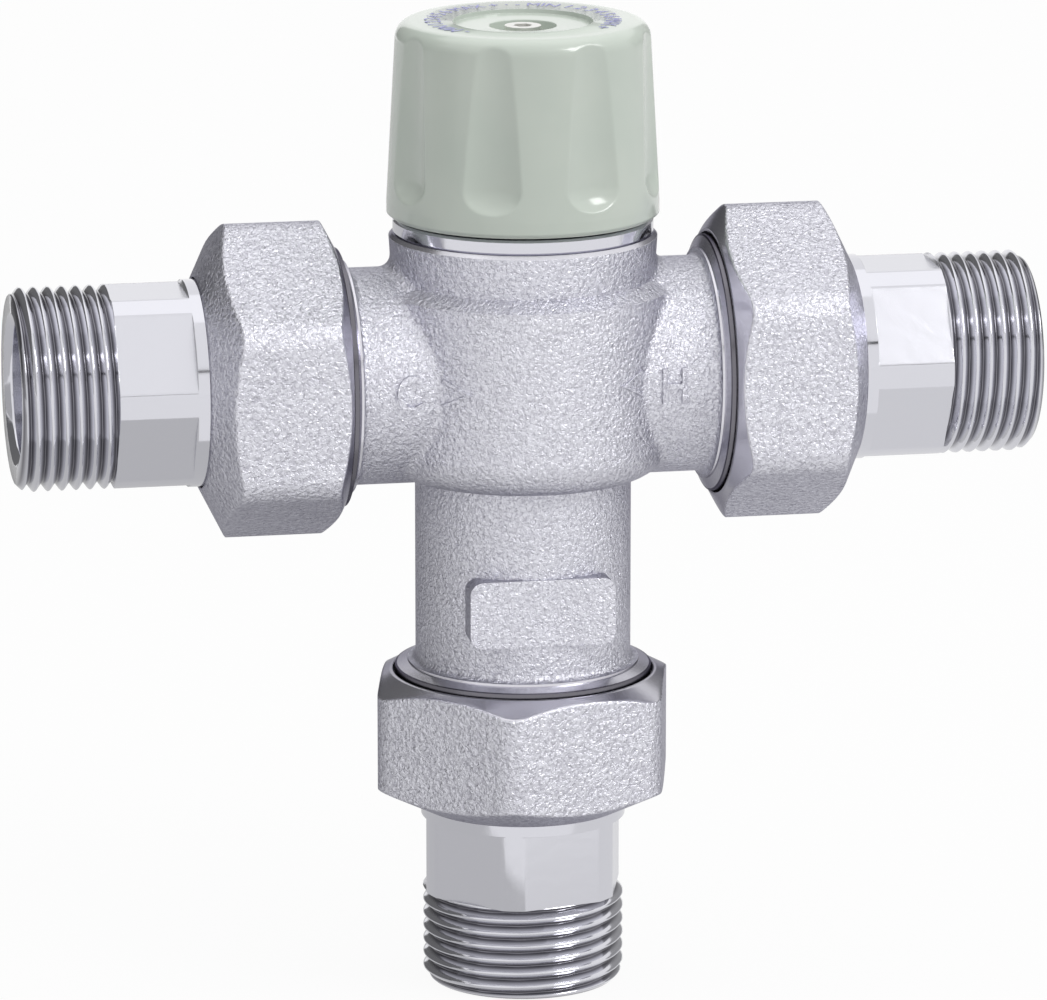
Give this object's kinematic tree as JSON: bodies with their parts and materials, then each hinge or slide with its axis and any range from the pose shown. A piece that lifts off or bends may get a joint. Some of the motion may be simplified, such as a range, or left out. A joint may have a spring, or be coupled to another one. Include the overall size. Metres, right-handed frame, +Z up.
{
  "type": "temperature mixing valve",
  "caption": "Temperature mixing valve: a cast body with two opposed inlets and a lower outlet, each with a union nut and a threaded tail, under a fluted adjusting knob.",
  "frame": {"origin": "centre of the end face of the outlet tail, the lowest point of the valve", "axes": "+Z up the valve axis to the knob, +X along the inlet axis to the hot inlet, -Y is the front with the C and H marks"},
  "size_m": [0.133, 0.0396, 0.1274],
  "materials": {
    "cast_chrome": "sand-textured casting with satin chrome plate",
    "nut_chrome": "sand-textured forging with satin chrome plate, machined cones",
    "machined_chrome": "turned and milled, bright chrome plate",
    "knob_plastic": "gloss moulded plastic, pale grey green",
    "stainless": "bright stainless steel",
    "bare_brass": "turned brass",
    "black_plastic": "moulded technical plastic",
    "white_plastic": "moulded acetal",
    "black_rubber": "moulded rubber",
    "gasket_fibre": "pressed fibre gasket"
  },
  "bodies": {
    "valve": {"valve_body": "cast_chrome", "bonnet": "machined_chrome", "bonnet_o_ring": "black_rubber", "return_spring": "stainless", "spring_guide": "black_plastic", "guide_circlip": "stainless", "hot_gasket": "gasket_fibre", "hot_tailpiece": "machined_chrome", "hot_check_cage": "white_plastic", "hot_check_spring": "stainless", "hot_check_o_ring": "black_rubber", "hot_strainer": "stainless", "cold_gasket": "gasket_fibre", "cold_tailpiece": "machined_chrome", "cold_check_cage": "white_plastic", "cold_check_spring": "stainless", "cold_check_o_ring": "black_rubber", "cold_strainer": "stainless", "outlet_gasket": "gasket_fibre", "outlet_tailpiece": "machined_chrome"},
    "knob_unit": {"knob": "knob_plastic", "knob_screw": "stainless", "spindle": "bare_brass", "spindle_o_ring": "black_rubber"},
    "carrier_unit": {"carrier": "bare_brass", "carrier_circlip": "stainless", "overtravel_spring": "stainless"},
    "pusher_unit": {"pusher": "bare_brass", "element_pin": "stainless"},
    "shuttle_unit": {"shuttle": "black_plastic", "shuttle_o_ring": "black_rubber", "wax_element": "bare_brass"},
    "hot_poppet": {"hot_check_poppet": "white_plastic"},
    "cold_poppet": {"cold_check_poppet": "white_plastic"},
    "hot_nut": {"hot_union_nut": "nut_chrome"},
    "cold_nut": {"cold_union_nut": "nut_chrome"},
    "outlet_nut": {"outlet_union_nut": "nut_chrome"}
  },
  "joints": [
    {"name": "knob_turn", "type": "hinge", "parent": "valve", "child": "knob_unit", "pos_m": [0, 0, 0.0815], "axis": [0, 0, 1], "range_deg": [-150, 150]},
    {"name": "carrier_lift", "type": "slide", "parent": "valve", "child": "carrier_unit", "axis": [0, 0, 1], "range_m": [-0.00062, 0.00062]},
    {"name": "overtravel", "type": "slide", "parent": "carrier_unit", "child": "pusher_unit", "axis": [0, 0, 1], "range_m": [0, 0.0008], "stiffness_N_per_m": 5000, "springref_m": -0.0001, "deforming": ["overtravel_spring"]},
    {"name": "thermal_stroke", "type": "slide", "parent": "pusher_unit", "child": "shuttle_unit", "axis": [0, 0, 1], "range_m": [-0.0006, 0.0003], "stiffness_N_per_m": 1500, "deforming": ["return_spring"]},
    {"name": "hot_check", "type": "slide", "parent": "valve", "child": "hot_poppet", "axis": [-1, 0, 0], "range_m": [0, 0.003], "stiffness_N_per_m": 60, "springref_m": -0.0005, "deforming": ["hot_check_spring"]},
    {"name": "cold_check", "type": "slide", "parent": "valve", "child": "cold_poppet", "axis": [1, 0, 0], "range_m": [0, 0.003], "stiffness_N_per_m": 60, "springref_m": -0.0005, "deforming": ["cold_check_spring"]},
    {"name": "hot_nut_turn", "type": "hinge", "parent": "valve", "child": "hot_nut", "pos_m": [0.04, 0, 0.0815], "axis": [1, 0, 0], "continuous": true},
    {"name": "cold_nut_turn", "type": "hinge", "parent": "valve", "child": "cold_nut", "pos_m": [-0.04, 0, 0.0815], "axis": [-1, 0, 0], "continuous": true},
    {"name": "outlet_nut_turn", "type": "hinge", "parent": "valve", "child": "outlet_nut", "pos_m": [0, 0, 0.03], "axis": [0, 0, -1], "continuous": true}
  ],
  "couplings": [
    {"joint": "knob_turn", "follows": "carrier_lift", "rad_per_m": 4188.8}
  ]
}
